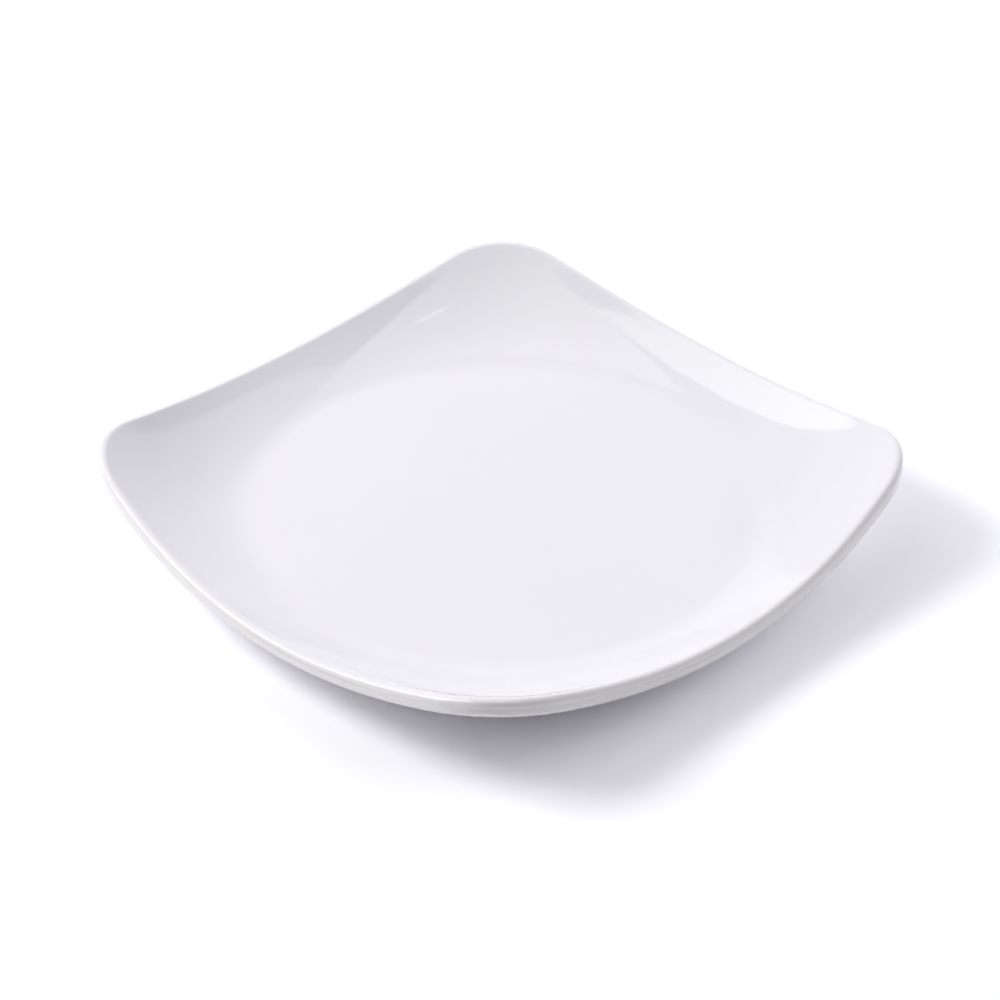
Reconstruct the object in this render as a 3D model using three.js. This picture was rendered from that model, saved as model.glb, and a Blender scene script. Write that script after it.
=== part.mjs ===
// Square plate of white glazed porcelain: a dish with a round well, bowed sides and raised, rounded corners.
// Millimetres, +Z up. The origin is the middle of the foot ring, on the table that the plate stands on.
import * as THREE from "three";

// Outline, seen from above, over the glaze
const SIDE = 210; // between the middles of two opposite sides
const SIDE_BOW_RADIUS = 360; // each side is a shallow arc that bows outwards
const CORNER_RADIUS = 33;

// Dish: a flat round well, a bend round it, and on every bearing a wall that curls up to the outline
const WELL_RADIUS = 77.5;
const BEND_RUN = 9; // width of the bend, seen from above
const SIDE_SLOPE = 0.364; // rise over run of the wall where it leaves the bend, in the middle of a side
const CORNER_SLOPE = 0.259; // the same, towards the tip of a corner
const SIDE_RISE = 10.2; // from the well up to where the wall would meet the outline, in the middle of a side
const CORNER_RISE = 24.5; // the same, at the tip of a corner
const WALL = 5.5; // square through the plate, with its glaze

// Rim, which is upright between two rounded edges
const RIM_CREST_RADIUS = 2;
const RIM_UNDER_RADIUS = 2.4;

// Foot ring, round, under the well
const FOOT_RADIUS = 68; // outside
const FOOT_WIDTH = 6;
const FOOT_HEIGHT = 2.4; // below the underside of the well
const FOOT_EDGE_RADIUS = 0.7; // where the foot turns under

// Glaze, wiped off the foot before it is fired
const GLAZE = 0.3;
const BARE_BAND = 0.3; // bare foot above its rounded edge

// Facets
const SIDE_STEPS = 10;
const CORNER_STEPS = 8;
const BEND_STEPS = 3;
const WALL_STEPS = 5;
const RIM_STEPS = 3;
const UNDERSIDE_STEPS = 6;
const FOOT_EDGE_STEPS = 2;

const QUARTERS = 4;
const QUARTER_TURN = (2 * Math.PI) / QUARTERS;
const WELL_TOP = FOOT_HEIGHT + WALL;
const FOOT_INNER_RADIUS = FOOT_RADIUS - FOOT_WIDTH;
const GLAZE_LINE = FOOT_EDGE_RADIUS + BARE_BAND; // height above the table
const SLOPE_STEP = 0.01; // over which a slope is measured

// A side's arc has its centre on the axis through the side's middle. A corner's arc meets both side arcs
// smoothly, which fixes its centre on the diagonal, as far along X as along Y.
const BOW_CENTRE = SIDE / 2 - SIDE_BOW_RADIUS;
const CENTRE_GAP = SIDE_BOW_RADIUS - CORNER_RADIUS;
const CORNER_CENTRE = (BOW_CENTRE + Math.sqrt(2 * CENTRE_GAP ** 2 - BOW_CENTRE ** 2)) / 2;
const SIDE_TURN = Math.atan2(CORNER_CENTRE, CORNER_CENTRE - BOW_CENTRE);
const SIDE_END = new THREE.Vector2(BOW_CENTRE, 0).add(
  new THREE.Vector2(SIDE_BOW_RADIUS, 0).rotateAround(new THREE.Vector2(), SIDE_TURN),
);
const DIAGONAL_CENTRE = CORNER_CENTRE * Math.SQRT2;
const CORNER_REACH = DIAGONAL_CENTRE + CORNER_RADIUS;

// Stations round the outline, each with its point in plan and the direction out of the plate there
function outlineStations() {
  const arcs = [
    { x: BOW_CENTRE, y: 0, radius: SIDE_BOW_RADIUS, from: -SIDE_TURN, to: SIDE_TURN, steps: SIDE_STEPS },
    {
      x: CORNER_CENTRE,
      y: CORNER_CENTRE,
      radius: CORNER_RADIUS,
      from: SIDE_TURN,
      to: QUARTER_TURN - SIDE_TURN,
      steps: CORNER_STEPS,
    },
  ];
  const quarter = arcs.flatMap(({ x, y, radius, from, to, steps }) => {
    const centre = new THREE.Vector2(x, y);
    const points = new THREE.EllipseCurve(x, y, radius, radius, from, to).getPoints(steps);
    return points.slice(0, steps).map((point) => ({ point, out: point.clone().sub(centre).normalize() }));
  });
  const middle = new THREE.Vector2();
  return Array.from({ length: QUARTERS }, (_, index) => {
    const turn = index * QUARTER_TURN;
    return quarter.map(({ point, out }) => ({
      point: point.clone().rotateAround(middle, turn),
      out: out.clone().rotateAround(middle, turn),
    }));
  }).flat();
}

const STATIONS = outlineStations();

// Distance from the axis to the outline, on the bearing of a place in plan
function outlineReach(plan) {
  const half = QUARTER_TURN / 2;
  const fromSide = Math.abs(THREE.MathUtils.euclideanModulo(plan.angle() + half, QUARTER_TURN) - half);
  const onSide = fromSide < SIDE_END.angle();
  const [centre, radius] = onSide ? [BOW_CENTRE, SIDE_BOW_RADIUS] : [DIAGONAL_CENTRE, CORNER_RADIUS];
  const away = onSide ? fromSide : half - fromSide;
  return centre * Math.cos(away) + Math.sqrt(radius ** 2 - (centre * Math.sin(away)) ** 2);
}

// The slope with which the wall leaves the bend on that bearing, and how fast it steepens from there to meet
// the outline at the rim's rise. Slope and rise go evenly with the reach, from a side's to a corner's.
function wallOn(plan) {
  const reach = outlineReach(plan);
  const share = (reach - SIDE / 2) / (CORNER_REACH - SIDE / 2);
  const slope = THREE.MathUtils.lerp(SIDE_SLOPE, CORNER_SLOPE, share);
  const rise = THREE.MathUtils.lerp(SIDE_RISE, CORNER_RISE, share);
  const run = reach - WELL_RADIUS;
  return { slope, curl: (rise - slope * (run - BEND_RUN / 2)) / (run - BEND_RUN) ** 2 };
}

// Height of the face, or of the surface that lies a depth below it, at a place in plan
function dishHeight(plan, depth) {
  const { slope, curl } = wallOn(plan);
  const run = Math.max(plan.length() - WELL_RADIUS, 0);
  const bent = Math.min(run, BEND_RUN);
  const climb = run - bent;
  const face = WELL_TOP + slope * (bent ** 2 / (2 * BEND_RUN) + climb) + curl * climb ** 2;
  const steepness = (slope * bent) / BEND_RUN + 2 * curl * climb;
  return face - depth * Math.hypot(1, steepness);
}

// The point of that surface above a place in plan
function onDish(plan, depth) {
  return new THREE.Vector3(plan.x, plan.y, dishHeight(plan, depth));
}

// The upward normal of that surface there, from its slopes along X and Y
function dishNormal(plan, depth) {
  const steps = [new THREE.Vector2(SLOPE_STEP, 0), new THREE.Vector2(0, SLOPE_STEP)];
  const [slopeX, slopeY] = steps.map((step) => {
    const climb = dishHeight(plan.clone().add(step), depth) - dishHeight(plan.clone().sub(step), depth);
    return climb / (2 * SLOPE_STEP);
  });
  return new THREE.Vector3(-slopeX, -slopeY, 1).normalize();
}

// A ball that rolls round the rim, touching the outline, with its centre a depth below the face.
// It draws an arc from one direction to another at each station, and gives one ring for each step.
function rimRings(ball, centreDepth, radius, directions) {
  const arcs = STATIONS.map(({ point, out }) => {
    const plan = point.clone().addScaledVector(out, -ball);
    const centre = onDish(plan, centreDepth);
    const [from, to] = directions(dishNormal(plan, centreDepth), new THREE.Vector3(out.x, out.y, 0));
    const axis = from.clone().cross(to).normalize();
    const turn = from.angleTo(to);
    return (share) => from.clone().applyAxisAngle(axis, turn * share).multiplyScalar(radius).add(centre);
  });
  return Array.from({ length: RIM_STEPS + 1 }, (_, step) => arcs.map((arc) => arc(step / RIM_STEPS)));
}

// A level circle, with its points on the same bearings as the outline's
function circle(radius, height) {
  return STATIONS.map(({ point }) => {
    const plan = point.clone().setLength(radius);
    return new THREE.Vector3(plan.x, plan.y, height);
  });
}

// A circle laid on the surface a depth below the face, with its points on those bearings too
function dishCircle(radius, depth) {
  return STATIONS.map(({ point }) => onDish(point.clone().setLength(radius), depth));
}

const pole = (height) => [new THREE.Vector3(0, 0, height)];

// The rings between two others, spread evenly in plan and laid on the surface a depth below the face
function ringsBetween(first, last, steps, depth) {
  return Array.from({ length: steps - 1 }, (_, index) =>
    first.map((start, station) => {
      const point = start.clone().lerp(last[station], (index + 1) / steps);
      return onDish(new THREE.Vector2(point.x, point.y), depth);
    }),
  );
}

// The plate's skin, from the well's edge over the rim and back to the bare band on the foot.
// An inset of 0 is the finished surface, and an inset of the glaze is the porcelain under it.
function skin(inset) {
  const underDepth = WALL - inset;
  const wellEdge = dishCircle(WELL_RADIUS, inset);
  const bendEdge = dishCircle(WELL_RADIUS + BEND_RUN, inset);
  const crest = rimRings(
    RIM_CREST_RADIUS,
    RIM_CREST_RADIUS,
    RIM_CREST_RADIUS - inset,
    (up, out) => [up, out],
  );
  const under = rimRings(
    RIM_UNDER_RADIUS,
    WALL - RIM_UNDER_RADIUS,
    RIM_UNDER_RADIUS - inset,
    (up, out) => [out, up.negate()],
  );
  const footRadius = FOOT_RADIUS - inset;
  const footTop = circle(footRadius, WELL_TOP - underDepth);
  return [
    wellEdge,
    ...ringsBetween(wellEdge, bendEdge, BEND_STEPS, inset),
    bendEdge,
    ...ringsBetween(bendEdge, crest[0], WALL_STEPS, inset),
    ...crest,
    ...under,
    ...ringsBetween(under[RIM_STEPS], footTop, UNDERSIDE_STEPS, underDepth),
    footTop,
    circle(footRadius, GLAZE_LINE),
  ];
}

// The skin inside the foot ring, from the bare band up the foot's inner wall
function footWellSkin(inset) {
  const radius = FOOT_INNER_RADIUS + inset;
  return [circle(radius, GLAZE_LINE), circle(radius, FOOT_HEIGHT + inset)];
}

// A closed solid over rings that all go round the same way, starting and ending in a pole.
// Each patch is split along its shorter diagonal, so two solids that share rings meet face to face.
function ringSolid(rings) {
  const points = rings.flat();
  const starts = rings.map((_, index) => rings.slice(0, index).flat().length);
  const corner = (ring, station) => starts[ring] + (station % rings[ring].length);
  const triangles = [];
  for (let ring = 0; ring + 1 < rings.length; ring++) {
    for (let station = 0; station < STATIONS.length; station++) {
      const here = corner(ring, station);
      const beside = corner(ring, station + 1);
      const below = corner(ring + 1, station);
      const across = corner(ring + 1, station + 1);
      const downhill = points[here].distanceTo(points[across]) <= points[beside].distanceTo(points[below]);
      const halves = downhill
        ? [[here, below, across], [here, across, beside]]
        : [[here, below, beside], [beside, below, across]];
      triangles.push(...halves.filter((half) => new Set(half).size === half.length).flat());
    }
  }
  const geometry = new THREE.BufferGeometry().setFromPoints(points);
  geometry.setIndex(triangles);
  geometry.computeVertexNormals();
  return geometry;
}

// A rounded edge of the bare foot, from its wall down to the table, turning towards the middle of the foot
function footEdge(wallRadius, towardsMiddle) {
  return Array.from({ length: FOOT_EDGE_STEPS + 1 }, (_, step) => {
    const turn = (step / FOOT_EDGE_STEPS) * (Math.PI / 2);
    const inset = FOOT_EDGE_RADIUS * (1 - Math.cos(turn));
    return circle(wallRadius + towardsMiddle * inset, FOOT_EDGE_RADIUS * (1 - Math.sin(turn)));
  });
}

function porcelainBody() {
  return ringSolid([
    pole(WELL_TOP - GLAZE),
    ...skin(GLAZE),
    ...footEdge(FOOT_RADIUS - GLAZE, -1),
    ...footEdge(FOOT_INNER_RADIUS + GLAZE, 1).reverse(),
    ...footWellSkin(GLAZE),
    pole(FOOT_HEIGHT + GLAZE),
  ]);
}

// One coat over face, rim and underside: out along the finished surface, and back along the porcelain
function glazeCoat() {
  return ringSolid([pole(WELL_TOP), ...skin(0), ...skin(GLAZE).reverse(), pole(WELL_TOP - GLAZE)]);
}

function footWellGlaze() {
  return ringSolid([
    pole(FOOT_HEIGHT + GLAZE),
    ...footWellSkin(GLAZE).reverse(),
    ...footWellSkin(0),
    pole(FOOT_HEIGHT),
  ]);
}

// Fired porcelain is a warm, dull white, and the glaze over it a cool, glossy one
const porcelain = { color: 0xe9e6df, roughness: 0.85, metalness: 0 };
const glaze = { color: 0xf0f0f4, roughness: 0.08, metalness: 0 };

function piece(name, geometry, look) {
  const mesh = new THREE.Mesh(geometry, new THREE.MeshStandardMaterial(look));
  mesh.name = name;
  return mesh;
}

const plate = new THREE.Group();
plate.add(
  piece("porcelain_body", porcelainBody(), porcelain),
  piece("glaze_coat", glazeCoat(), glaze),
  piece("foot_well_glaze", footWellGlaze(), glaze),
);

export default plate;
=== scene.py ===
# %% [markdown]
# # A square plate of white porcelain
# The plate is a dish with a round well and a square outline with bowed sides, whose corners turn up
# higher than the middles of its sides. It is one lump of fired porcelain under two coats of glaze: one
# over face, rim and underside, and one inside the foot ring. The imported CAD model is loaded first, and
# every piece below takes the place of one of its nodes, in the same frame and in metres.

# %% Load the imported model
import math

import bmesh
import bpy
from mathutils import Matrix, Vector


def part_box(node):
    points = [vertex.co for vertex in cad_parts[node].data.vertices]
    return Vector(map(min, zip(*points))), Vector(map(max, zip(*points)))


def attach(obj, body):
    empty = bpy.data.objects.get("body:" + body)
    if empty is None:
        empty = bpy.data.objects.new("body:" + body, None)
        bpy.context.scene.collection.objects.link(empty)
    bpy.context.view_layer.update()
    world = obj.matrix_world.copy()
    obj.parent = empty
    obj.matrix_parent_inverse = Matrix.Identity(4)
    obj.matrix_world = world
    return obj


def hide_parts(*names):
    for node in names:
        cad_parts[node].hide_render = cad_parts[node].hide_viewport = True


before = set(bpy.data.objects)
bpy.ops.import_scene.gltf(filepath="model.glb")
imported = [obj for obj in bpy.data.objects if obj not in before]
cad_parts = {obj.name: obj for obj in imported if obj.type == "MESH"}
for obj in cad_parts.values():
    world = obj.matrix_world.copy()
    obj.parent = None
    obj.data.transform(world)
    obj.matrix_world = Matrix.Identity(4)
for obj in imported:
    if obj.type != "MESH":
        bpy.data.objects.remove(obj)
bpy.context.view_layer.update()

print("CAD nodes:", ", ".join(sorted(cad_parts)))

# %% [markdown]
# ## Sizes
# What the CAD model can be asked is read from its nodes: the side, the heights of the foot and the glaze
# line. The rest are the plate's own sizes, the same as in its drawing. Everything is in metres, so a size
# in millimetres is written as a number times MM.

# %% Sizes of the plate
MM = 0.001
HAIR = 0.001 * MM  # lengths that differ by less are the same
coat_low, coat_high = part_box("glaze_coat")
well_coat_low, well_coat_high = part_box("foot_well_glaze")

SIDE = coat_high.x - coat_low.x  # between the middles of two opposite sides
SIDE_BOW_RADIUS = 360 * MM  # each side is a shallow arc that bows outwards
CORNER_RADIUS = 33 * MM
WELL_RADIUS = 77.5 * MM
BEND_RUN = 9 * MM  # width of the bend round the well, seen from above
SIDE_SLOPE = 0.364  # rise over run of the wall where it leaves the bend, in the middle of a side
CORNER_SLOPE = 0.259
SIDE_RISE = 10.2 * MM  # from the well up to where the wall would meet the outline
CORNER_RISE = 24.5 * MM
WALL = 5.5 * MM  # square through the plate, with its glaze
RIM_CREST_RADIUS = 2 * MM
RIM_UNDER_RADIUS = 2.4 * MM
FOOT_RADIUS = 68 * MM
FOOT_INNER_RADIUS = well_coat_high.x
GLAZE = 0.3 * MM
GLAZE_LINE = coat_low.z  # height above the table at which the coats stop
FOOT_HEIGHT = well_coat_high.z - GLAZE
WELL_TOP = FOOT_HEIGHT + WALL
print(f"side {SIDE / MM:.1f} mm, well floor {WELL_TOP / MM:.2f} mm high")
print(f"the glaze stops {GLAZE_LINE / MM:.2f} mm above the table")

# %% [markdown]
# ## The outline and the dish
# From above, each side is a shallow arc and each corner a tight one that meets its two sides smoothly. On
# every bearing the dish has the same kind of section: a flat well, a short bend that shows as a soft
# ring, and a wall that curls up towards the rim. The rim rises with the outline's distance from the axis,
# so a corner swings up higher than a side. Slope and height of the wall are plain powers of the distance
# from the well, which needs no arcs.

# %% Outline and dish as formulas
bow_centre = SIDE / 2 - SIDE_BOW_RADIUS
centre_gap = SIDE_BOW_RADIUS - CORNER_RADIUS
corner_centre = (bow_centre + math.sqrt(2 * centre_gap**2 - bow_centre**2)) / 2
side_turn = math.atan2(corner_centre, corner_centre - bow_centre)
side_end = math.atan2(
    corner_centre + CORNER_RADIUS * math.sin(side_turn),
    corner_centre + CORNER_RADIUS * math.cos(side_turn),
)
diagonal_centre = corner_centre * math.sqrt(2)


def outline_reach(bearing):
    """Distance from the axis to the outline."""
    from_side = abs((bearing + math.pi / 4) % (math.pi / 2) - math.pi / 4)
    if from_side < side_end:
        centre, radius, away = bow_centre, SIDE_BOW_RADIUS, from_side
    else:
        centre, radius, away = diagonal_centre, CORNER_RADIUS, math.pi / 4 - from_side
    return centre * math.cos(away) + math.sqrt(radius**2 - (centre * math.sin(away)) ** 2)


def wall_on(bearing):
    """Slope of the wall where it leaves the bend, and how fast it steepens from there to the rim."""
    reach = outline_reach(bearing)
    share = (reach - SIDE / 2) / (diagonal_centre + CORNER_RADIUS - SIDE / 2)
    slope = SIDE_SLOPE + (CORNER_SLOPE - SIDE_SLOPE) * share
    rise = SIDE_RISE + (CORNER_RISE - SIDE_RISE) * share
    run = reach - WELL_RADIUS
    return slope, (rise - slope * (run - BEND_RUN / 2)) / (run - BEND_RUN) ** 2


def face_at(radius, wall):
    """Height and steepness of the face at a distance from the axis."""
    slope, curl = wall
    run = max(radius - WELL_RADIUS, 0)
    bent = min(run, BEND_RUN)
    climb = run - bent
    height = WELL_TOP + slope * (bent**2 / (2 * BEND_RUN) + climb) + curl * climb**2
    return height, slope * bent / BEND_RUN + 2 * curl * climb


def layer_height(radius, depth, wall):
    """Height of the layer that lies a depth below the face, measured square to it."""
    height, steepness = face_at(radius, wall)
    return height - depth * math.hypot(1, steepness)


for name, bearing in (("side", 0), ("corner", math.pi / 4)):
    reach = outline_reach(bearing)
    steepness = face_at(reach, wall_on(bearing))[1]
    tilt = math.degrees(math.atan(steepness))
    print(f"{name}: reaches {reach / MM:.2f} mm, wall at {tilt:.1f} degrees by the rim")

# %% [markdown]
# ## The section of the skin
# A potter's template is half of the plate's section, and turning it about the axis gives the dish. The
# section is drawn in the XZ plane as by hand with a ruler and a compass: a straight stretch is an
# extruded vertex, an arc is a spun one, and the wall is a row of short stretches. It starts in the
# middle of the well, runs over the rim at the middle of a side, and comes back along the underside to the
# glaze line on the foot. Drawing the rim's two small roundings as true arcs, rather than beveling them
# later, keeps their size exact in every direction.

# %% Pen for drawing a section
def pen_down(name, x, z):
    bpy.ops.object.select_all(action="DESELECT")
    bpy.ops.mesh.primitive_plane_add(size=MM)
    bpy.context.object.name = name
    bpy.ops.object.mode_set(mode="EDIT")
    bpy.ops.mesh.merge(type="CENTER")
    bpy.ops.transform.translate(value=(x, 0, z))
    return bpy.context.object


def pen_place():
    mesh = bmesh.from_edit_mesh(bpy.context.edit_object.data)
    return next(vertex.co.copy() for vertex in mesh.verts if vertex.select)


def line_to(x, z, stretches=1):
    step = (Vector((x, 0, z)) - pen_place()) / stretches
    for _ in range(stretches):
        bpy.ops.mesh.extrude_vertices_move(TRANSFORM_OT_translate={"value": step})


def arc_round(x, z, angle, steps):
    """Goes round a centre, leftwards where the angle is positive."""
    bpy.ops.mesh.spin(steps=steps, angle=angle, center=(x, 0, z), axis=(0, 1, 0))


def along_layer(end, depth, wall, stretches):
    """Follows a layer of the dish to a distance from the axis."""
    start = pen_place().x
    for step in range(1, stretches + 1):
        x = start + (end - start) * step / stretches
        line_to(x, layer_height(x, depth, wall))


# %% [markdown]
# The rim's roundings are balls that touch the outline and lie just under the face and just above the
# underside. Their centres and the slope of the wall there are all that the section needs.

# %% Draw the section from the well over the rim to the foot
WELL_STEPS = 6
BEND_STEPS = 10
RIM_STEPS = 24
WALL_STEPS = 18
FILLET_STEPS = 8
FOOT_FILLET = 1.2 * MM  # where the foot meets the underside


def rim_ball(bearing, radius, depth):
    """One rounding of the rim: its centre, the angle of its arc, and where the arc leaves the wall."""
    wall = wall_on(bearing)
    x = outline_reach(bearing) - radius
    tilt = math.atan(face_at(x, wall)[1])
    if depth < WALL / 2:
        arc, end = math.pi / 2 + tilt, x - radius * math.sin(tilt)
    else:
        arc, end = math.pi / 2 - tilt, x + radius * math.sin(tilt)
    return x, layer_height(x, depth, wall), arc, end


def crest_ball(bearing):
    return rim_ball(bearing, RIM_CREST_RADIUS, RIM_CREST_RADIUS)


def under_ball(bearing):
    return rim_ball(bearing, RIM_UNDER_RADIUS, WALL - RIM_UNDER_RADIUS)


side_wall = wall_on(0)
crest_x, crest_z, crest_arc, face_end = crest_ball(0)
under_x, under_z, under_arc, under_end = under_ball(0)

skin = pen_down("plate_skin", 0, WELL_TOP)
line_to(WELL_RADIUS, WELL_TOP, stretches=WELL_STEPS)
along_layer(WELL_RADIUS + BEND_RUN, 0, side_wall, BEND_STEPS)
along_layer(face_end, 0, side_wall, WALL_STEPS)
arc_round(crest_x, crest_z, -crest_arc, RIM_STEPS)
line_to(SIDE / 2, under_z)
arc_round(under_x, under_z, -under_arc, RIM_STEPS)
along_layer(WELL_RADIUS + BEND_RUN, WALL, side_wall, WALL_STEPS)
along_layer(WELL_RADIUS, WALL, side_wall, BEND_STEPS)
line_to(FOOT_RADIUS + FOOT_FILLET, FOOT_HEIGHT)
arc_round(FOOT_RADIUS + FOOT_FILLET, FOOT_HEIGHT - FOOT_FILLET, math.pi / 2, FILLET_STEPS)
line_to(FOOT_RADIUS, GLAZE_LINE)
foot_end = pen_place()
bpy.ops.object.mode_set(mode="OBJECT")
print(f"section: {len(skin.data.vertices)} points, ends at {foot_end.x / MM:.2f}, {foot_end.z / MM:.2f} mm")

# %% [markdown]
# ## From a round dish to a bowed square
# Turning the section gives a round plate as wide as the square is from side to side. A spin leaves a
# stack of points on the axis and may leave its faces pointing inwards, so doubles are merged first and
# normals are recalculated after that.

# %% Turn the section about the axis
STATIONS = 288

bpy.ops.object.mode_set(mode="EDIT")
bpy.ops.mesh.select_all(action="SELECT")
bpy.ops.mesh.spin(steps=STATIONS, angle=2 * math.pi, center=(0, 0, 0), axis=(0, 0, 1))
bpy.ops.mesh.select_all(action="SELECT")
bpy.ops.mesh.remove_doubles(threshold=HAIR)
bpy.ops.mesh.normals_make_consistent(inside=False)
bpy.ops.object.mode_set(mode="OBJECT")
print(f"round dish: {len(skin.data.vertices)} points, {len(skin.data.polygons)} faces")

# %% [markdown]
# The corners are then pulled out, as with proportional editing. The rim moves outwards along its bearing
# until it lies on the outline, and everything between the rim and the bend moves with it in proportion and
# takes the height that the dish has on its bearing. The two roundings of the rim keep their radii, and
# only the angle of their arcs changes with the tilt of the wall. Formulas do this better than a lattice
# would, because the bend round the well stays a true ring.

# %% Pull the corners out
WALL_FOOT = WELL_RADIUS + BEND_RUN


def stretched(radius, end, new_end):
    """Moves a point of the wall in proportion as the end of the wall moves."""
    return radius + max(radius - WALL_FOOT, 0) / (end - WALL_FOOT) * (new_end - end)


def pulled_place(radius, height, bearing):
    """New distance from the axis and height of a point of the round dish."""
    wall = wall_on(bearing)
    if height > layer_height(radius, WALL / 2, side_wall):
        x, z, arc, new_end = crest_ball(bearing)
        if radius > face_end - HAIR:
            turn = math.atan2(height - crest_z, radius - crest_x) * arc / crest_arc
            return x + RIM_CREST_RADIUS * math.cos(turn), z + RIM_CREST_RADIUS * math.sin(turn)
        pulled = stretched(radius, face_end, new_end)
        return pulled, layer_height(pulled, 0, wall)
    x, z, arc, new_end = under_ball(bearing)
    if radius > under_end - HAIR:
        turn = math.atan2(height - under_z, radius - under_x) * arc / under_arc
        return x + RIM_UNDER_RADIUS * math.cos(turn), z + RIM_UNDER_RADIUS * math.sin(turn)
    pulled = stretched(radius, under_end, new_end)
    return pulled, layer_height(pulled, WALL, wall)


for vertex in skin.data.vertices:
    radius = math.hypot(vertex.co.x, vertex.co.y)
    if radius > WELL_RADIUS:
        bearing = math.atan2(vertex.co.y, vertex.co.x)
        pulled, height = pulled_place(radius, vertex.co.z, bearing)
        vertex.co.x *= pulled / radius
        vertex.co.y *= pulled / radius
        vertex.co.z = height
skin.data.update()
reach = max(math.hypot(vertex.co.x, vertex.co.y) for vertex in skin.data.vertices)
height = max(vertex.co.z for vertex in skin.data.vertices)
print(f"square dish: corners reach {reach / MM:.2f} mm out and {height / MM:.2f} mm up")

# %% [markdown]
# ## The porcelain under the glaze
# The fired clay is the same form, thinner by one coat of glaze all over. A copy of the skin is shrunk
# along its normals by that much. Its open edge on the foot is then extruded down to the table, in under
# the foot, and up to the roof of the recess, and closed there. Beveling the edges of the foot last gives
# the rounding that a wet sponge leaves when the foot is wiped clean of glaze.

# %% Shrink a copy of the skin to the porcelain
bpy.ops.object.select_all(action="DESELECT")
skin.select_set(True)
bpy.context.view_layer.objects.active = skin
bpy.ops.object.duplicate()
porcelain = bpy.context.object
porcelain.name = "fired_porcelain"
bpy.ops.object.mode_set(mode="EDIT")
bpy.ops.mesh.select_all(action="SELECT")
bpy.ops.transform.shrink_fatten(value=-GLAZE, use_even_offset=True)
bpy.ops.mesh.select_all(action="DESELECT")
bpy.ops.mesh.select_mode(type="EDGE")
bpy.ops.mesh.select_non_manifold()
open_edge = [edge for edge in bmesh.from_edit_mesh(porcelain.data).edges if edge.select]
print("open edge of the porcelain:", len(open_edge), "edges")

# %% Extrude the open edge under the foot and into its recess
RECESS_FILLET = 1.3 * MM
FOOT_EDGE_RADIUS = 0.7 * MM
BEVEL_STEPS = 5

bare_outer = FOOT_RADIUS - GLAZE
bare_inner = FOOT_INNER_RADIUS + GLAZE
recess_roof = FOOT_HEIGHT + GLAZE


def extrude_open_edge(rise, widen=1.0):
    bpy.ops.mesh.extrude_edges_move(TRANSFORM_OT_translate={"value": (0, 0, rise)})
    bpy.ops.transform.resize(value=(widen, widen, 1), center_override=(0, 0, 0))


extrude_open_edge(-GLAZE_LINE)
extrude_open_edge(0, bare_inner / bare_outer)
extrude_open_edge(recess_roof)
bpy.ops.mesh.edge_face_add()
bpy.ops.mesh.select_all(action="SELECT")
bpy.ops.mesh.normals_make_consistent(inside=False)


def select_rings(radius, height, near=0.02 * MM):
    """Selects the edges that lie all along a level circle."""
    bpy.ops.mesh.select_all(action="DESELECT")
    mesh = bmesh.from_edit_mesh(bpy.context.edit_object.data)
    for edge in mesh.edges:
        edge.select = all(
            abs(point.co.z - height) < near and abs(math.hypot(point.co.x, point.co.y) - radius) < near
            for point in edge.verts
        )
    mesh.select_flush_mode()
    return sum(edge.select for edge in mesh.edges)


rounded = 0
for radius, height, rounding in (
    (bare_outer, 0, FOOT_EDGE_RADIUS),
    (bare_inner, 0, FOOT_EDGE_RADIUS),
    (bare_inner, recess_roof, RECESS_FILLET),
):
    rounded += select_rings(radius, height)
    bpy.ops.mesh.bevel(offset=rounding, segments=BEVEL_STEPS, affect="EDGES")
bpy.ops.object.mode_set(mode="OBJECT")
print(f"porcelain: {rounded} edges rounded, {len(porcelain.data.polygons)} faces")

# %% [markdown]
# ## The two coats of glaze
# The coat over the plate is the skin itself, given the thickness of the glaze inwards, so that its
# outside stays where the CAD has it. Solidify closes it along the glaze line, where the real coat ends in
# a thin edge.

# %% Thicken the skin to the coat over the plate
def thicken(piece, thickness):
    modifier = piece.modifiers.new("coat", "SOLIDIFY")
    modifier.thickness = thickness
    modifier.offset = -1
    modifier.use_even_offset = True
    bpy.ops.object.select_all(action="DESELECT")
    piece.select_set(True)
    bpy.context.view_layer.objects.active = piece
    bpy.ops.object.modifier_apply(modifier=modifier.name)


coat = skin
coat.name = "glaze_over_plate"
thicken(coat, GLAZE)
print(f"coat over the plate: {len(coat.data.polygons)} faces")

# %% [markdown]
# The coat in the foot's recess is a shallow dish upside down. It starts as a circle on the glaze line, is
# extruded up to the roof, filled and rounded there, and gets its thickness in the same way.

# %% Make the coat in the recess of the foot
bpy.ops.object.select_all(action="DESELECT")
bpy.ops.mesh.primitive_circle_add(vertices=STATIONS, radius=bare_inner, location=(0, 0, 0))
recess_coat = bpy.context.object
recess_coat.name = "glaze_in_foot"
bpy.ops.object.mode_set(mode="EDIT")
bpy.ops.transform.translate(value=(0, 0, GLAZE_LINE))
extrude_open_edge(recess_roof - GLAZE_LINE)
bpy.ops.mesh.edge_face_add()
select_rings(bare_inner, recess_roof)
bpy.ops.mesh.bevel(offset=RECESS_FILLET, segments=BEVEL_STEPS, affect="EDGES")
bpy.ops.mesh.select_all(action="SELECT")
bpy.ops.mesh.normals_make_consistent(inside=True)
bpy.ops.object.mode_set(mode="OBJECT")
thicken(recess_coat, -GLAZE)
print(f"coat in the foot: {len(recess_coat.data.polygons)} faces")

# %% [markdown]
# ## Smooth shading
# Everything is thrown and glazed round, so all faces are shaded smooth. Only edges over 50 degrees, the
# thin ends of the coats, stay sharp.

# %% Shade the pieces smooth
SHARP_ANGLE = math.radians(50)

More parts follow.
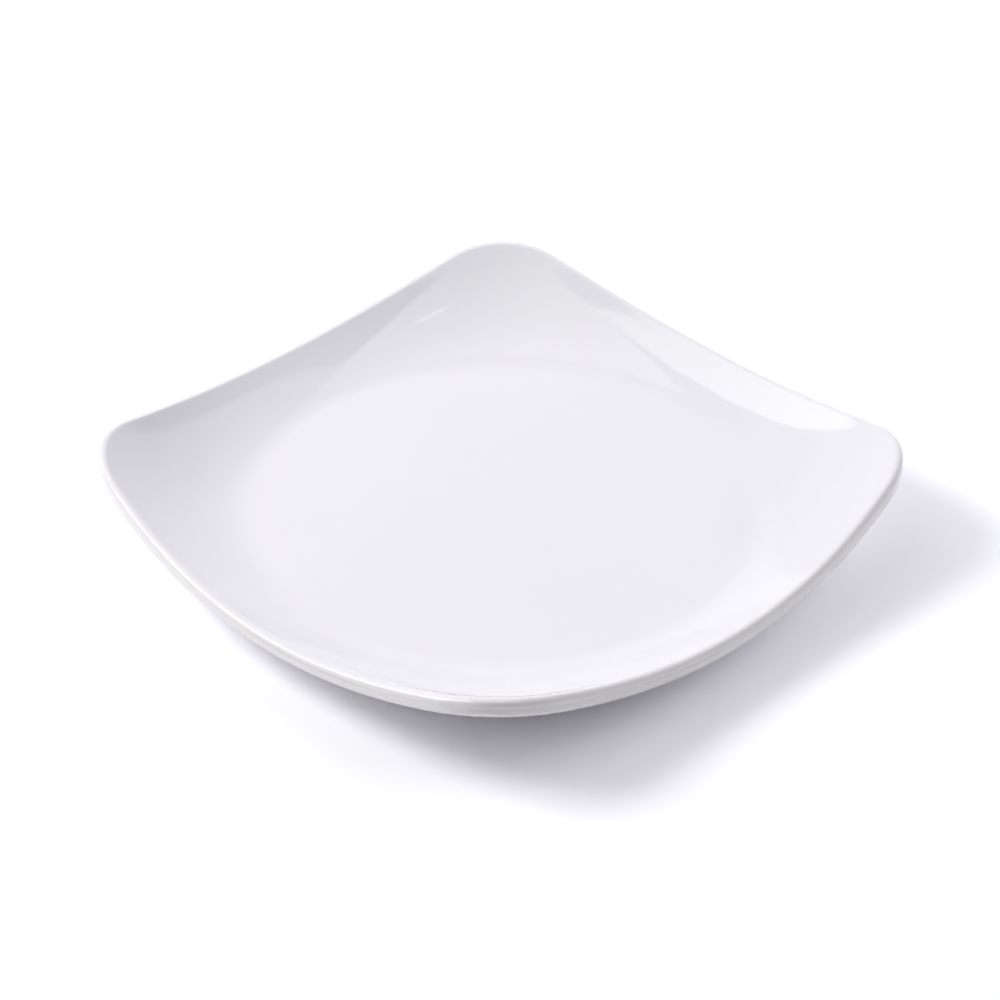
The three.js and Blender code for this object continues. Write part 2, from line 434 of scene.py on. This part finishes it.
for piece in (coat, porcelain, recess_coat):
    bpy.ops.object.select_all(action="DESELECT")
    piece.select_set(True)
    bpy.context.view_layer.objects.active = piece
    bpy.ops.object.shade_smooth_by_angle(angle=SHARP_ANGLE)
    triangles = sum(len(face.vertices) - 2 for face in piece.data.polygons)
    print(f"{piece.name}: {triangles} triangles, shaded smooth")

# %% [markdown]
# ## Materials
# The plate has two finishes: glossy glaze nearly everywhere, and bare fired clay where the foot stands on
# the table. Colours are written as they look on a screen, in hex, and one function makes them linear. A
# small function adds a node with its settings and links, so that each material reads as a short list.

# %% Helpers for materials
def linear(hex_colour):
    """An sRGB hex colour as linear red, green, blue and alpha."""
    channels = [int(hex_colour[start:start + 2], 16) / 255 for start in (1, 3, 5)]
    curve = [c / 12.92 if c <= 0.04045 else ((c + 0.055) / 1.055) ** 2.4 for c in channels]
    return (*curve, 1)


def add_node(tree, kind, sockets=(), **settings):
    """Adds a node. A socket is given a number or colour, or the output that feeds it."""
    node = tree.nodes.new(kind)
    for name, value in settings.items():
        setattr(node, name, value)
    for name, value in dict(sockets).items():
        if isinstance(value, bpy.types.NodeSocket):
            tree.links.new(value, node.inputs[name])
        else:
            node.inputs[name].default_value = value
    return node


def new_material(name):
    material = bpy.data.materials.new(name)
    material.use_nodes = True
    material.node_tree.nodes.clear()
    return material


def patches(tree, place, size, detail=2):
    """Soft cloudy patches between 0 and 1, of about a given size."""
    return add_node(tree, "ShaderNodeTexNoise", {
        "Vector": place,
        "Scale": 1 / size,
        "Detail": detail,
    }).outputs["Fac"]


def graded(tree, value, low, high, start=0.0, end=1.0):
    """Turns a value between start and end into one between low and high."""
    return add_node(tree, "ShaderNodeMapRange", {
        "Value": value,
        "From Min": start,
        "From Max": end,
        "To Min": low,
        "To Max": high,
    }).outputs["Result"]


def blend(tree, share, first, second):
    """Goes from one colour to another with the share. Sockets 6 and 7 are the node's two colours."""
    return add_node(tree, "ShaderNodeMix", {
        "Factor": share,
        6: first,
        7: second,
    }, data_type="RGBA").outputs[2]


# %% [markdown]
# ### Where the glaze runs thin
# Molten glaze draws back from a sharp edge and gathers in a hollow. Along the crest of the rim the coat is
# at its thinnest, so the clay shows through a little warmer there, and the glass is too thin to run in
# waves. Each point of a coat therefore gets a number of its own: how far in from the outline it lies.

# %% Mark how far each point of the glaze lies from the rim
WARM_BAND = 2.4 * MM
CALM_BAND = 3.6 * MM  # no waves up to here
WAVY_FROM = 5.4 * MM  # and all of them from here on


def from_rim(point):
    """Distance in from the outline, seen from above."""
    return outline_reach(math.atan2(point.y, point.x)) - math.hypot(point.x, point.y)


for piece in (coat, recess_coat):
    inset = piece.data.attributes.new("inset", "FLOAT", "POINT")
    inset.data.foreach_set("value", [from_rim(vertex.co) for vertex in piece.data.vertices])
    warm = sum(entry.value < WARM_BAND for entry in inset.data)
    print(f"{piece.name}: {warm} of {len(inset.data)} points lie in the warm band")

# %% [markdown]
# ### Glossy white glaze
# A clear glass over cool white porcelain. It gives the eye a clean, slightly bluish white, a sharp mirror
# image of the lamps, and a rim that is a touch warmer than the well. The kiln leaves it not quite even:
# the white drifts by a shade over some centimetres, the gloss a little too, and the surface has the faint
# waves of an orange's skin, under a thousandth of a millimetre high, which make the edges of a reflection
# tremble. A single shader does for it, as the thin glass tints nothing.

# %% Make the glaze
WAVE_LENGTH = 4 * MM
WAVE_HEIGHT = 0.0006 * MM
SAG_LENGTH = 45 * MM
SAG_HEIGHT = 0.008 * MM
RIM_WARMTH = 0.6  # how far the colour goes over to the warm one

glaze = new_material("glossy_white_glaze")
tree = glaze.node_tree
place = add_node(tree, "ShaderNodeTexCoord").outputs["Object"]
clouds = patches(tree, place, 60 * MM)
white = blend(tree, clouds, linear("#edecef"), linear("#ebeaed"))
inset = add_node(tree, "ShaderNodeAttribute", attribute_name="inset").outputs["Fac"]
warmth = graded(tree, inset, RIM_WARMTH, 0, end=WARM_BAND)
tone = blend(tree, warmth, white, linear("#ebe9e7"))
gloss = graded(tree, patches(tree, place, 25 * MM, detail=4), 0.02, 0.05)
unevenness = graded(tree, inset, 0, 1, start=CALM_BAND, end=WAVY_FROM)
sag = add_node(tree, "ShaderNodeBump", {
    "Strength": unevenness,
    "Height": patches(tree, place, SAG_LENGTH, detail=0),
    "Distance": SAG_HEIGHT,
})
waves = add_node(tree, "ShaderNodeBump", {
    "Strength": unevenness,
    "Height": patches(tree, place, WAVE_LENGTH, detail=1),
    "Distance": WAVE_HEIGHT,
    "Normal": sag.outputs["Normal"],
})
shader = add_node(tree, "ShaderNodeBsdfPrincipled", {
    "Base Color": tone,
    "Roughness": gloss,
    "IOR": 1.5,
    "Normal": waves.outputs["Normal"],
})
add_node(tree, "ShaderNodeOutputMaterial", {"Surface": shader.outputs["BSDF"]})
for piece in (coat, recess_coat):
    piece.data.materials.clear()
    piece.data.materials.append(glaze)
print(f"{glaze.name}: {len(tree.nodes)} nodes, on {coat.name} and {recess_coat.name}")

# %% [markdown]
# ### Bare fired porcelain
# The foot is wiped clean of glaze, or the plate would stick to the kiln shelf. Bare porcelain is dull and
# a little creamy, with a grain as fine as caster sugar that only shows close by. Where it rubs on tables
# it turns grey, so the scuffs are kept to the lowest few tenths of a millimetre. The grain is drawn
# slightly coarser than the real one, which is too fine to see at all.

# %% Make the bare porcelain
GRAIN = 0.4 * MM
SCUFF_HEIGHT = 0.25 * MM

bare = new_material("bare_fired_porcelain")
tree = bare.node_tree
place = add_node(tree, "ShaderNodeTexCoord").outputs["Object"]
grain = patches(tree, place, GRAIN, detail=3)
clay = blend(tree, grain, linear("#e8e5dd"), linear("#dcd8ce"))
height = add_node(tree, "ShaderNodeSeparateXYZ", {"Vector": place}).outputs["Z"]
low = graded(tree, height, 1, 0, end=SCUFF_HEIGHT)
rubbed = graded(tree, patches(tree, place, 3 * MM, detail=5), 0, 0.7, start=0.45, end=0.7)
scuffs = add_node(tree, "ShaderNodeMath", {0: low, 1: rubbed}, operation="MULTIPLY").outputs[0]
worn = blend(tree, scuffs, clay, linear("#a9a59d"))
bump = add_node(tree, "ShaderNodeBump", {"Height": grain, "Distance": 0.02 * MM})
shader = add_node(tree, "ShaderNodeBsdfPrincipled", {
    "Base Color": worn,
    "Roughness": 0.85,
    "Normal": bump.outputs["Normal"],
})
add_node(tree, "ShaderNodeOutputMaterial", {"Surface": shader.outputs["BSDF"]})
porcelain.data.materials.clear()
porcelain.data.materials.append(bare)
print(f"{bare.name}: {len(tree.nodes)} nodes, on {porcelain.name}")

# %% [markdown]
# ## The camera
# The plate is seen corner on, from about 36 degrees above the table. The angle, the distance and the lens
# were found by laying the outline of the model over the outline in the photograph.

# %% Set up the camera
CAMERA_AZIMUTH = math.radians(45.44)
CAMERA_ELEVATION = 35.63
CAMERA_DISTANCE = 0.9852
CAMERA_LENS = 112.64
SENSOR = 36
AIM = Vector((0, 0, 9.63 * MM))

to_right = Vector((math.cos(CAMERA_AZIMUTH), math.sin(CAMERA_AZIMUTH), 0))
to_back = Vector((-math.sin(CAMERA_AZIMUTH), math.cos(CAMERA_AZIMUTH), 0))


def towards(bearing, elevation):
    """Direction from the plate. The bearing is in degrees left of straight behind it, as the camera sees."""
    turn, climb = math.radians(bearing), math.radians(elevation)
    level = to_back * math.cos(turn) - to_right * math.sin(turn)
    return level * math.cos(climb) + Vector((0, 0, math.sin(climb)))


camera_data = bpy.data.cameras.new("camera")
camera_data.lens = CAMERA_LENS
camera_data.sensor_width = SENSOR
camera = bpy.data.objects.new("camera", camera_data)
bpy.context.scene.collection.objects.link(camera)
camera.location = AIM + CAMERA_DISTANCE * towards(180, CAMERA_ELEVATION)
camera.rotation_euler = (AIM - camera.location).to_track_quat("-Z", "Y").to_euler()
bpy.context.scene.camera = camera
print("camera at", [round(value, 3) for value in camera.location])

# %% [markdown]
# ## The floor
# White paper, lit well enough that only the shadow shows on it. To every ray that is seen, straight or in
# the glaze, the paper is a little brighter than it is as a reflector of light, so that it comes out white
# next to the shadow. Further out it goes over to a plain white glow, which hides where the paper ends. The
# glow fades in from 15 cm off the axis, over the outer end of the plate's shadow, so it is painted light
# there: it pales the far end of the cast shadow.

# %% Lay the floor
FLOOR_WIDTH = 6
SEEN_PAPER = 1.26  # how much brighter the paper is to a ray that is seen
# painted light: from here out the floor glows plain white, which pales the outer end of the plate's shadow
GLOW_START = 0.15
WHITE_REACH = 0.32


def seen_ray(tree):
    """1 for a ray that ends in the eye, straight or by a mirror or glass, else 0."""
    path = add_node(tree, "ShaderNodeLightPath")
    mirrored = add_node(tree, "ShaderNodeMath", {
        0: path.outputs["Is Glossy Ray"],
        1: path.outputs["Is Transmission Ray"],
    }, operation="MAXIMUM")
    return add_node(tree, "ShaderNodeMath", {
        0: path.outputs["Is Camera Ray"],
        1: mirrored.outputs[0],
    }, operation="MAXIMUM").outputs[0]


bpy.ops.object.select_all(action="DESELECT")
bpy.ops.mesh.primitive_plane_add(size=FLOOR_WIDTH)
floor = bpy.context.object
floor.name = "floor"
paper = new_material("white_paper")
tree = paper.node_tree
seen = seen_ray(tree)
place = add_node(tree, "ShaderNodeTexCoord").outputs["Object"]
distance = add_node(tree, "ShaderNodeVectorMath", {0: place}, operation="LENGTH").outputs["Value"]
# painted light: the white glow fades in over the outer end of the plate's cast shadow and pales it
far = graded(tree, distance, 0, 1, start=GLOW_START, end=WHITE_REACH)
plain = add_node(tree, "ShaderNodeMath", {0: far, 1: seen}, operation="MULTIPLY").outputs[0]
lit_white = linear("#f7f7f9")
seen_white = [channel * SEEN_PAPER for channel in lit_white]
matt = add_node(tree, "ShaderNodeBsdfDiffuse", {"Color": blend(tree, seen, lit_white, seen_white)})
glow = add_node(tree, "ShaderNodeEmission", {"Strength": 1})
both = add_node(tree, "ShaderNodeMixShader", {0: plain, 1: matt.outputs[0], 2: glow.outputs[0]})
add_node(tree, "ShaderNodeOutputMaterial", {"Surface": both.outputs[0]})
floor.data.materials.append(paper)
print(f"floor: {FLOOR_WIDTH} m wide, plain white from {WHITE_REACH} m on")

# %% [markdown]
# ## Lamps
# The shadow falls to the right and a little to the front, with an edge that grows soft over some
# centimetres: one softbox on the left, at about 40 degrees. A broad weak one on the right and one behind
# fill in, a little cooler, as the shadow is bluish. They are kept out of the mirror images, because what
# the glaze mirrors is set up on its own.

# %% Set up the lamps
COOL = "#faf9ff"


def softbox(name, bearing, elevation, distance, width, height, radiance, colour="#ffffff"):
    lamp_data = bpy.data.lights.new(name, "AREA")
    lamp_data.color = linear(colour)[:3]
    lamp_data.shape = "RECTANGLE"
    lamp_data.size = width
    lamp_data.size_y = height
    lamp_data.energy = radiance * math.pi * width * height
    lamp = bpy.data.objects.new(name, lamp_data)
    bpy.context.scene.collection.objects.link(lamp)
    lamp.location = AIM + distance * towards(bearing, elevation)
    lamp.rotation_euler = (AIM - lamp.location).to_track_quat("-Z", "Y").to_euler()
    lamp.visible_glossy = False
    print(f"{name}: {lamp_data.energy:.2f} W at bearing {bearing}, {elevation} degrees up")


softbox("key", bearing=79, elevation=39.5, distance=1.2, width=0.62, height=0.52, radiance=8.9)
softbox("fill_right", bearing=-79, elevation=37.5, distance=1.2, width=1.0, height=0.9, radiance=2.7,
        colour=COOL)
softbox("fill_back", bearing=40, elevation=50, distance=1.2, width=0.8, height=0.6, radiance=0.7,
        colour=COOL)

# %% [markdown]
# ## What the glaze mirrors
# A glossy white plate shows its form by the bright shapes that it mirrors. The long highlight along the
# right wall is the window of a big softbox, so a card of that shape stands on the left. It is seen by
# mirror rays only. Others give the bright line along the left front rim, the soft light of the back wall,
# the pale front wall, and a short streak on the wall at the back left. The corners of each are measured
# along its own plane.

# %% Put up the cards
def card(name, bearing, elevation, radiance, corners, distance=1.1):
    middle = towards(bearing, elevation)
    across = to_right * math.cos(math.radians(bearing)) + to_back * math.sin(math.radians(bearing))
    upward = across.cross(middle) if across.cross(middle).z > 0 else middle.cross(across)
    mesh = bpy.data.meshes.new(name)
    points = [middle * distance + across * right + upward * up for right, up in corners]
    mesh.from_pydata(points, [], [range(len(points))])
    panel = bpy.data.objects.new(name, mesh)
    bpy.context.scene.collection.objects.link(panel)
    for ray in ("camera", "diffuse", "transmission", "volume_scatter", "shadow"):
        setattr(panel, f"visible_{ray}", False)
    shine = new_material(f"{name}_light")
    light = add_node(shine.node_tree, "ShaderNodeEmission", {"Strength": radiance})
    add_node(shine.node_tree, "ShaderNodeOutputMaterial", {"Surface": light.outputs[0]})
    mesh.materials.append(shine)
    print(f"{name}: radiance {radiance}, {len(points)} corners")


def oblong(left, right, low, high):
    return [(left, low), (right, low), (right, high), (left, high)]


card("window", 66, 48, 2.7, [
    (0.45, -0.36),
    (0.464, 0.014),
    (0.433, 0.181),
    (0.329, 0.314),
    (0.171, 0.422),
    (-0.08, 0.553),
    (-0.06, 0.49),
    (0.0, 0.44),
    (-0.32, 0.42),
    (-0.32, -0.36),
])
card("window_side", 66, 48, 7.5, [(-0.32, -0.42), (-0.32, 0.507), (-0.9, 0.69), (-0.9, -0.42)])
card("ceiling", 0, 85, 1.9, oblong(-0.3, 0.3, -0.6, 0.3))
card("front_screen", 180, 70, 1.6, oblong(-0.3, 0.3, -0.2, 0.2))
card("backdrop", 3, 0, 1, [(1.3, 0), (1.3, 3.2), (-0.16, 2.6), (-0.16, 0)], distance=1.3)
card("slit", -76, 77, 4.5, [(-0.14, -0.03), (-0.112, -0.03), (-0.012, 0.018), (-0.04, 0.018)])

# %% [markdown]
# ## The room
# The rest of the room is a pale grey, lighter behind and to the left, and dark high up on the right. The
# edge between the two is what draws the dark band along the left wall. To the camera itself the room is
# white.

# %% Paint the room
LIGHT_HALF = 48  # bearing towards which the light half of the room faces
PALE = 0.57
LOW_PALE = 0.45
FROM_LEFT = 0.11

world = bpy.data.worlds.new("studio")
world.use_nodes = True
bpy.context.scene.world = world
tree = world.node_tree
tree.nodes.clear()
direction = add_node(tree, "ShaderNodeTexCoord").outputs["Generated"]


def facing(vector, start, end):
    """0 to 1 as the direction turns towards a vector, between two cosines of the angle to it."""
    turned = add_node(tree, "ShaderNodeVectorMath", {0: direction, 1: vector}, operation="DOT_PRODUCT")
    return graded(tree, turned.outputs["Value"], 0, 1, start=start, end=end)


light_half = graded(tree, facing(towards(LIGHT_HALF, 0), start=-0.02, end=0.02), 0, PALE)
low_down = graded(tree, facing(Vector((0, 0, -1)), start=-0.35, end=-0.15), 0, LOW_PALE)
pale = add_node(tree, "ShaderNodeMath", {0: light_half, 1: low_down}, operation="MAXIMUM").outputs[0]
left = graded(tree, facing(-to_right, start=-0.2, end=0.5), 0, FROM_LEFT)
level = add_node(tree, "ShaderNodeMath", {0: pale, 1: left}, operation="ADD").outputs[0]
path = add_node(tree, "ShaderNodeLightPath")
shown = add_node(tree, "ShaderNodeMix", {
    "Factor": path.outputs["Is Camera Ray"],
    2: level,
    3: 1.0,
})
background = add_node(tree, "ShaderNodeBackground", {
    "Color": linear(COOL),
    "Strength": shown.outputs[0],
})
add_node(tree, "ShaderNodeOutputWorld", {"Surface": background.outputs[0]})
print(f"room: pale part {PALE}, and {FROM_LEFT} more from the left")

# %% [markdown]
# ## Into the CAD's place
# Each piece is listed with its node in the CAD model and the name of its finish there. It hangs from the
# plate's one body, and the node that it replaces is hidden.

# %% Finish
bpy.context.scene.view_settings.view_transform = "Standard"
for piece, node, finish in (
    (coat, "glaze_coat", "white_glaze"),
    (porcelain, "porcelain_body", "bare_porcelain"),
    (recess_coat, "foot_well_glaze", "foot_well_white_glaze"),
):
    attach(piece, "root")
    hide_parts(node)
